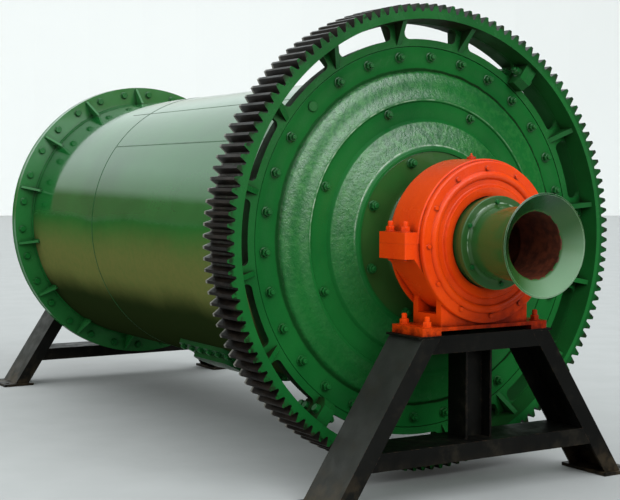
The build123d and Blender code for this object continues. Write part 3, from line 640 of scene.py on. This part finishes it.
class Mesh:
    """Collects closed shapes and makes one object of them."""

    def __init__(self):
        self.verts = []
        self.faces = []

    def skin(self, rings, closed=False):
        """Skin over rings of as many points each, with flat ends unless they close."""
        first, sides = len(self.verts), len(rings[0])
        for ring in rings:
            self.verts.extend(ring)
        count = len(rings) if closed else len(rings) - 1
        for i in range(count):
            low, high = first + i * sides, first + (i + 1) % len(rings) * sides
            for k in range(sides):
                after = (k + 1) % sides
                self.faces.append((low + k, low + after, high + after, high + k))
        if not closed:
            last = first + (len(rings) - 1) * sides
            self.faces.append(tuple(first + k for k in reversed(range(sides))))
            self.faces.append(tuple(last + k for k in range(sides)))

    def turned(self, place, profile, sides):
        """Solid turned about the local Z of a placement, from (radius, height) pairs."""
        angles = [2 * math.pi * k / sides for k in range(sides)]
        self.skin([
            [place @ Vector((r * math.cos(a), r * math.sin(a), z)) for a in angles]
            for r, z in profile
        ])

    def hexagon(self, place, flats, low, high):
        """Hexagon head or nut of a width across flats, with chamfered corners."""
        corner_r = flats / 2 / math.cos(math.pi / 6)
        # Of each ring: height, how far its corners drop below that, and its radii
        levels = (
            (low, 0.0, corner_r, flats / 2),
            (high, 0.10 * flats, corner_r, flats / 2),
            (high, 0.0, 0.47 * flats, 0.47 * flats),
        )
        rings = []
        for height, drop, at_corner, at_flat in levels:
            ring = []
            for k in range(12):
                a = math.pi * k / 6
                r, z = (at_flat, height - 0.2 * drop) if k % 2 else (at_corner, height - drop)
                ring.append(place @ Vector((r * math.cos(a), r * math.sin(a), z)))
            rings.append(ring)
        self.skin(rings)

    def washer(self, place, thread, height):
        """Washer for a thread of that diameter, set a little into its seat."""
        self.turned(place, [(thread, -SINK), (thread, height * 0.8), (0.95 * thread, height)], 24)

    def make(self, name, material, body, slot):
        """Object of the collected shapes, on a body, with its material; the paint slot is not used.
        """
        mesh = bpy.data.meshes.new(name)
        mesh.from_pydata([tuple(v) for v in self.verts], [], self.faces)
        mesh.update()
        mesh.shade_smooth()
        mesh.set_sharp_from_angle(angle=math.radians(SHARP_ANGLE))
        thing = bpy.data.objects.new(name, mesh)
        bpy.context.scene.collection.objects.link(thing)
        thing.data.materials.append(MATERIALS[material])
        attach(thing, body)


def polar(radius, angle):
    """Y and Z of a point at an angle round the mill axis."""
    a = math.radians(angle)
    return -radius * math.cos(a), AXIS_Z + radius * math.sin(a)


def tangent(angle):
    """Direction round the mill axis at an angle."""
    a = math.radians(angle)
    return Vector((0, math.sin(a), math.cos(a)))


def outward(angle):
    """Direction away from the mill axis at an angle."""
    a = math.radians(angle)
    return Vector((0, -math.cos(a), math.sin(a)))


def facing(at, along, spin=0.0):
    """Placement at a point with its local Z along a direction."""
    turn = Vector(along).to_track_quat("Z", "Y").to_matrix().to_4x4()
    return Matrix.Translation(at) @ turn @ Matrix.Rotation(spin, 4, "Z")


def circle(bolts, x, along, rng, skip=()):
    """Placements on a bolt circle, each turned by chance."""
    count, first, radius = bolts
    return [
        facing((x, *polar(radius, first + k * 360 / count)), (along, 0, 0), rng.uniform(0, math.pi))
        for k in range(count)
        if k not in skip
    ]


def nut_on_stud(mesh, place, thread, stud_up):
    """Washer, nut and the end of the stud through it, for a thread of that diameter."""
    washer = 0.17 * thread
    top = washer + 0.85 * thread
    mesh.washer(place, thread, washer)
    mesh.hexagon(place, 1.5 * thread, washer * 0.9, top)
    tip = top + stud_up
    stud = [(thread / 2, washer), (thread / 2, tip - 0.15 * thread), (0.36 * thread, tip)]
    mesh.turned(place, stud, 16)


def bolt_head(mesh, place, thread):
    """Hexagon head on its washer."""
    washer = 0.15 * thread
    mesh.washer(place, thread, washer)
    mesh.hexagon(place, 1.5 * thread, washer * 0.9 - SINK / 2, washer + 0.65 * thread)


def flange_bolts(end, side, rng):
    """Nuts on the outside and heads on the inside of the flanges at one end."""
    outer, inner = Mesh(), Mesh()
    skip = (EMPTY_PLACE,) if side > 0 else ()
    for place in circle(FLANGE_BOLTS, side * FACE_X, side, rng, skip):
        nut_on_stud(outer, place, FLANGE_THREAD, rng.uniform(*FLANGE_STUD_UP))
    back = flange_low.x if side > 0 else SHELL_END - SHELL_FLANGE_T
    for place in circle(FLANGE_BOLTS, side * back, -side, rng, skip):
        bolt_head(inner, place, FLANGE_THREAD)
    count, first, radius = FLANGE_BOLTS
    for k in skip:
        centre = (side * FACE_X, *polar(radius, first + k * 360 / count))
        outer.turned(facing(centre, (side, 0, 0)), EMPTY_DISC, 28)
    outer.make("flange_nuts_" + end, "bolt", "drum", "flange_paint")
    inner.make("flange_bolt_heads_" + end, "bolt", "drum", "flange_paint")


def drum_bolts():
    """Bolts of the flanges, liners, trunnions and mouths at both ends."""
    rng = random.Random(11)
    for end, side in ENDS.items():
        flange_bolts(end, side, rng)
        head = Mesh()
        for place in circle(LINER_BOLTS, side * (FACE_X + LINER_RING_H), side, rng):
            nut_on_stud(head, place, LINER_THREAD, rng.uniform(*HEAD_STUD_UP))
        for place in circle(TRUNNION_BOLTS, side * (FACE_X + TRUNNION_FACE_H), side, rng):
            nut_on_stud(head, place, TRUNNION_THREAD, rng.uniform(*HEAD_STUD_UP))
        head.make("head_nuts_" + end, "bolt", "drum", "head_paint")
        mouth = Mesh()
        for place in circle(MOUTH_BOLTS, side * (mouth_low.x + MOUTH_FLANGE_T), side, rng):
            bolt_head(mouth, place, SCREW_THREAD)
        mouth.make("mouth_bolts_" + end, "bolt", "drum", "mouth_paint")


def bearing_studs(x, rng):
    """Studs of the split line and foot bolts of the bearing at a place along the mill."""
    mesh = Mesh()
    for dx in (-LUG_BOLT_X, LUG_BOLT_X):
        for y in (-LUG_BOLT_Y, LUG_BOLT_Y):
            up = facing((x + dx, y, AXIS_Z + LUG_UP), (0, 0, 1), rng.uniform(0, math.pi))
            down = facing((x + dx, y, AXIS_Z - LUG_DOWN), (0, 0, -1))
            nut_on_stud(mesh, up, STUD_THREAD, LUG_STUD_UP)
            mesh.turned(down, LUG_STUD_END, 16)
    for dx in (-FOOT_BOLT_X, FOOT_BOLT_X):
        for y in (-FOOT_BOLT_Y, FOOT_BOLT_Y):
            spin = rng.uniform(0, math.pi)
            up = facing((x + dx, y, base_low.z + BASE_T), (0, 0, 1), spin)
            down = facing((x + dx, y, beam_high.z - CHANNEL_WEB_T), (0, 0, -1), spin)
            nut_on_stud(mesh, up, STUD_THREAD, FOOT_STUD_UP)
            bolt_head(mesh, down, STUD_THREAD)
    return mesh


def oil_nipple(x):
    """Nipple on top of the bearing at a place along the mill."""
    mesh = Mesh()
    top = facing((x, 0, cap_high.z - SINK), (0, 0, 1))
    mesh.hexagon(top, NIPPLE_FLATS, 0.0, NIPPLE_HEX_H)
    mesh.turned(top, NIPPLE_STEM, 16)
    return mesh


def bearing_bolts():
    """Cover screws, studs and foot bolts of both bearings, and their oil nipples."""
    rng = random.Random(12)
    for end, side in ENDS.items():
        cover = Mesh()
        for place in circle(COVER_BOLTS, side * COVER_FACE, side, rng):
            bolt_head(cover, place, SCREW_THREAD)
        for place in circle(COVER_BOLTS, side * cover_low.x, -side, rng):
            bolt_head(cover, place, SCREW_THREAD)
        cover.make("cover_screws_" + end, "orange_bolt", "frame", "bearing_paint")
        studs = bearing_studs(side * BEARING_X, rng)
        studs.make("bearing_studs_" + end, "orange_bolt", "frame", "bearing_paint")
        nipple = oil_nipple(side * BEARING_X)
        nipple.make("oil_nipple_" + end, "orange_bolt", "frame", "bearing_paint")


def gear_bolts():
    """Bolts through the joint plates of the two gear halves."""
    rng = random.Random(13)
    mesh = Mesh()
    front = (FACE_X + RIB_FRONT) / 2
    rear = (FACE_X - GEAR_WEB_T + RIB_REAR) / 2
    for angle in SPLIT_ANGLES:
        around = tangent(angle)
        for x in (front, rear - JOINT_BOLT_SPREAD, rear + JOINT_BOLT_SPREAD):
            centre = Vector((x, *polar(JOINT_BOLT_R, angle)))
            for way in (-1, 1):
                face = centre + around * way * JOINT_PLATE_T
                place = facing(face, around * way, rng.uniform(0, 3))
                if way > 0:
                    bolt_head(mesh, place, JOINT_THREAD)
                else:
                    nut_on_stud(mesh, place, JOINT_THREAD, JOINT_STUD_UP)
    mesh.make("gear_joint_bolts", "bolt", "drum", "gear_paint")


def manhole_bolts():
    """Bolts round the saddle, following the curve of the shell."""
    rng = random.Random(14)
    mesh = Mesh()
    middle_x = (saddle_low.x + saddle_high.x) / 2
    spots = []
    for k in range(ROW_BOLTS):
        dx = ROW_PITCH * (k - (ROW_BOLTS - 1) / 2)
        spots += [(dx, -ROW_TURN), (dx, ROW_TURN)]
    for k in (-1, 0, 1):
        spots += [(-END_BOLT_X, END_BOLT_TURN * k), (END_BOLT_X, END_BOLT_TURN * k)]
    for dx, turn in spots:
        angle = MANHOLE_ANGLE + turn
        at = (middle_x + dx, *polar(SHELL_R + SADDLE_T, angle))
        bolt_head(mesh, facing(at, outward(angle), rng.uniform(0, 3)), MANHOLE_THREAD)
    mesh.make("manhole_bolts", "bolt", "drum", "manhole_paint")


def bead(mesh, path, outs, size, rng, closed=False):
    """Weld run along points, humped outwards, with the scallops of its passes."""
    half_w, height = size
    rings = []
    count = len(path)
    travelled = 0.0
    for i, (point, out) in enumerate(zip(path, outs)):
        before = path[i - 1] if i or closed else point
        after = path[(i + 1) % count] if i < count - 1 or closed else point
        side = (after - before).normalized().cross(out).normalized()
        if i:
            travelled += (point - before).length
        wave = 0.82 + 0.18 * abs(math.sin(math.pi * travelled / SCALLOP)) + rng.uniform(-0.05, 0.05)
        across, up = side * half_w * wave, out * height * wave
        ring = [point - across - out * SINK]
        for k in range(6):
            a = math.pi * (k + 0.5) / 6
            ring.append(point - across * math.cos(a) + up * math.sin(a))
        ring.append(point + across - out * SINK)
        rings.append(ring)
    mesh.skin(rings, closed)


def hoop(radius, x, step):
    """Points and outward directions round the mill axis."""
    count = int(2 * math.pi * radius / step)
    angles = [360 * i / count for i in range(count)]
    return [Vector((x, *polar(radius, angle))) for angle in angles], [outward(a) for a in angles]


def straight_bead(mesh, start, end, out, size, step, rng):
    """Weld run from one place to another, humped in one direction."""
    start, end = Vector(start), Vector(end)
    count = max(2, int((end - start).length / step))
    path = [start.lerp(end, i / (count - 1)) for i in range(count)]
    bead(mesh, path, [Vector(out).normalized()] * count, size, rng)


def shell_seams(rng):
    """Seams of the shell plates, ground low."""
    mesh = Mesh()
    path, outs = hoop(SHELL_R, RING_SEAM_X, FINE_STEP)
    bead(mesh, path, outs, RING_SEAM, rng, closed=True)
    for angle, start, end in LONG_SEAMS:
        y, z = polar(SHELL_R, angle)
        ends = (start, y, z), (end - SEAM_STOP, y, z)
        straight_bead(mesh, *ends, outward(angle), LONG_SEAM, FINE_STEP, rng)
    mesh.make("shell_seams", "seam", "drum", "shell_paint")


def gusset_fillets(mesh, inner, side, angle, rng):
    """Runs along the foot and the back of one gusset, on both sides of it."""
    around, out = tangent(angle), outward(angle)
    axis = Vector((inner, 0, AXIS_Z))
    inwards = Vector((-side, 0, 0))
    for way in (-1, 1):
        face = axis + around * way * GUSSET_HALF_T
        foot = face + out * SHELL_R
        runs = (
            (foot + inwards * GUSSET_NOSE, foot + inwards * GUSSET_LENGTH, out),
            (foot + out * GUSSET_NOSE, face + out * (FLANGE_R - GUSSET_NOSE), inwards),
        )
        for start, end, away in runs:
            hump = away + around * way
            straight_bead(mesh, start, end, hump, GUSSET_FILLET, FINE_STEP, rng)


def flange_welds(rng):
    """Fillets between the shell, its flanges and their gussets."""
    mesh = Mesh()
    for side in (-1, 1):
        inner = flange_low.x if side > 0 else SHELL_FLANGE_T - SHELL_END
        path, outs = hoop(SHELL_R + SINK, inner - side * FLANGE_FILLET_OFF, COARSE_STEP)
        slant = [(out - Vector((side, 0, 0))).normalized() for out in outs]
        bead(mesh, path, slant, FLANGE_FILLET, rng, closed=True)
        count, first = GUSSETS
        for k in range(count):
            gusset_fillets(mesh, inner, side, first + k * 360 / count, rng)
    mesh.make("flange_welds", "weld", "drum", "flange_paint")


def shell_welds():
    """Seams first, then fillets, on one course of random draws."""
    rng = random.Random(15)
    shell_seams(rng)
    flange_welds(rng)


def stand_welds():
    """Runs where the channels of the stands meet."""
    rng = random.Random(16)
    beam_under = beam_high.z - CHANNEL_WEB_T
    for end, side in ENDS.items():
        mesh = Mesh()
        x = side * BEARING_X
        post_low, post_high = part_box("stand_post_" + end)
        for sign, leg in ((-1, "stand_leg_left_"), (1, "stand_leg_right_")):
            leg_low, leg_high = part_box(leg + end)
            post_y = sign * (post_high.y + POST_FILLET_OFF)
            foot_y = max(leg_low.y, leg_high.y, key=abs)
            # Half length, place across and up, and the way the run humps
            runs = (
                (POST_RUN, post_y, post_high.z, -1.0),
                (POST_RUN, post_y, post_low.z, 1.0),
                (LEG_RUN, sign * (beam_high.y - LEG_INSET), beam_under, -0.4),
                (LEG_RUN, foot_y, leg_low.z, 1.0),
            )
            for half, y, z, up in runs:
                start, end_at = (x - half, y, z), (x + half, y, z)
                straight_bead(mesh, start, end_at, (0, sign, up), STAND_FILLET, COARSE_STEP, rng)
        mesh.make("stand_welds_" + end, "black_weld", "frame", "stand_paint")


def stage_mesh(name, verts, faces, look):
    """Piece of the studio, which isn't part of the mill."""
    mesh = bpy.data.meshes.new(name)
    mesh.from_pydata(verts, [], faces)
    thing = bpy.data.objects.new(name, mesh)
    bpy.context.scene.collection.objects.link(thing)
    thing.data.materials.append(look)


def direction(azimuth, elevation):
    """Unit vector towards an azimuth, from -Y by way of +X, and an elevation, in degrees."""
    a, e = math.radians(azimuth), math.radians(elevation)
    return Vector((math.sin(a) * math.cos(e), -math.cos(a) * math.cos(e), math.sin(e)))


def floor_and_backdrop():
    """Pale floor with a curved wall behind it."""
    s = Shader("floor_grey")
    low, high = [(tone, tone, tone, 1) for tone in FLOOR_TONES]
    colour = s.mix(s.ramp(s.noise(3.0, 3.0), 0.3, 0.7), low, high)
    corners = [(x * FLOOR_HALF, y * FLOOR_HALF, 0) for x, y in ((-1, -1), (1, -1), (1, 1), (-1, 1))]
    stage_mesh("floor", corners, [(0, 1, 2, 3)], s.finish(colour, 0.9, specular=0.1))

    s = Shader("backdrop_white")
    low, high = [(tone, tone, tone, 1) for tone in WALL_TONES]
    colour = s.mix(s.ramp(s.noise(0.1, 1.0), 0.3, 0.7), low, high)
    verts = []
    for k in range(WALL_SPANS + 1):
        turn = (2 * k / WALL_SPANS - 1) * WALL_HALF_ANGLE
        foot = direction(CAMERA_AZIMUTH + 180 + turn, 0) * WALL_DISTANCE
        verts += [foot, foot + Vector((0, 0, WALL_HEIGHT))]
    faces = [(2 * k, 2 * k + 2, 2 * k + 3, 2 * k + 1) for k in range(WALL_SPANS)]
    stage_mesh("backdrop", verts, faces, s.finish(colour, 0.9, specular=0.1))


def sky_part(tree, place, part, outside, inside):
    """Strength that changes between two angles round a direction of the sky."""
    azimuth, elevation, outer, inner = part
    dot = tree.nodes.new("ShaderNodeVectorMath")
    dot.operation = "DOT_PRODUCT"
    dot.inputs[1].default_value = direction(azimuth, elevation)
    fade = tree.nodes.new("ShaderNodeMapRange")
    fade.interpolation_type = "SMOOTHSTEP"
    fade.inputs["From Min"].default_value = math.cos(math.radians(outer))
    fade.inputs["From Max"].default_value = math.cos(math.radians(inner))
    fade.inputs["To Min"].default_value = outside
    fade.inputs["To Max"].default_value = inside
    tree.links.new(place.outputs["Generated"], dot.inputs[0])
    tree.links.new(dot.outputs["Value"], fade.inputs["Value"])
    return fade.outputs[0]


def sky():
    """Soft sky, brighter low beyond the gear end, with a dimmer side next to that."""
    world = bpy.data.worlds.new("studio")
    bpy.context.scene.world = world
    world.use_nodes = True
    tree = world.node_tree
    tree.nodes.clear()
    place = tree.nodes.new("ShaderNodeTexCoord")
    split = tree.nodes.new("ShaderNodeSeparateXYZ")
    colour = tree.nodes.new("ShaderNodeValToRGB")
    strength = tree.nodes.new("ShaderNodeMath")
    light = tree.nodes.new("ShaderNodeBackground")
    out = tree.nodes.new("ShaderNodeOutputWorld")
    bright = sky_part(tree, place, BRIGHT_PART, SKY_LEVEL, BRIGHT_LEVEL)
    dim = sky_part(tree, place, DIM_PART, 1.0, DIM_SHARE)
    strength.operation = "MULTIPLY"
    tree.links.new(bright, strength.inputs[0])
    tree.links.new(dim, strength.inputs[1])
    tree.links.new(strength.outputs[0], light.inputs[1])
    tree.links.new(place.outputs["Generated"], split.inputs[0])
    tree.links.new(split.outputs[2], colour.inputs[0])
    tree.links.new(colour.outputs[0], light.inputs[0])
    tree.links.new(light.outputs[0], out.inputs[0])
    stops = colour.color_ramp.elements
    stops.remove(stops[1])
    stops[0].position, stops[0].color = SKY_STOPS[0]
    for height, tone in SKY_STOPS[1:]:
        stops.new(height).color = tone


def camera():
    """The photograph's camera."""
    data = bpy.data.cameras.new("camera")
    data.lens, data.sensor_width, data.sensor_fit = LENS_MM, SENSOR_MM, "HORIZONTAL"
    data.clip_start, data.clip_end = 0.1, 300.0
    thing = bpy.data.objects.new("camera", data)
    bpy.context.scene.collection.objects.link(thing)
    back = direction(CAMERA_AZIMUTH, CAMERA_ELEVATION)
    thing.location = CAMERA_AT
    thing.rotation_euler = back.to_track_quat("Z", "Y").to_euler()
    bpy.context.scene.camera = thing


def main():
    dress_nodes()
    drum_bolts()
    bearing_bolts()
    gear_bolts()
    manhole_bolts()
    shell_welds()
    stand_welds()
    floor_and_backdrop()
    sky()
    camera()
    bpy.context.scene.view_settings.view_transform = "Standard"


main()
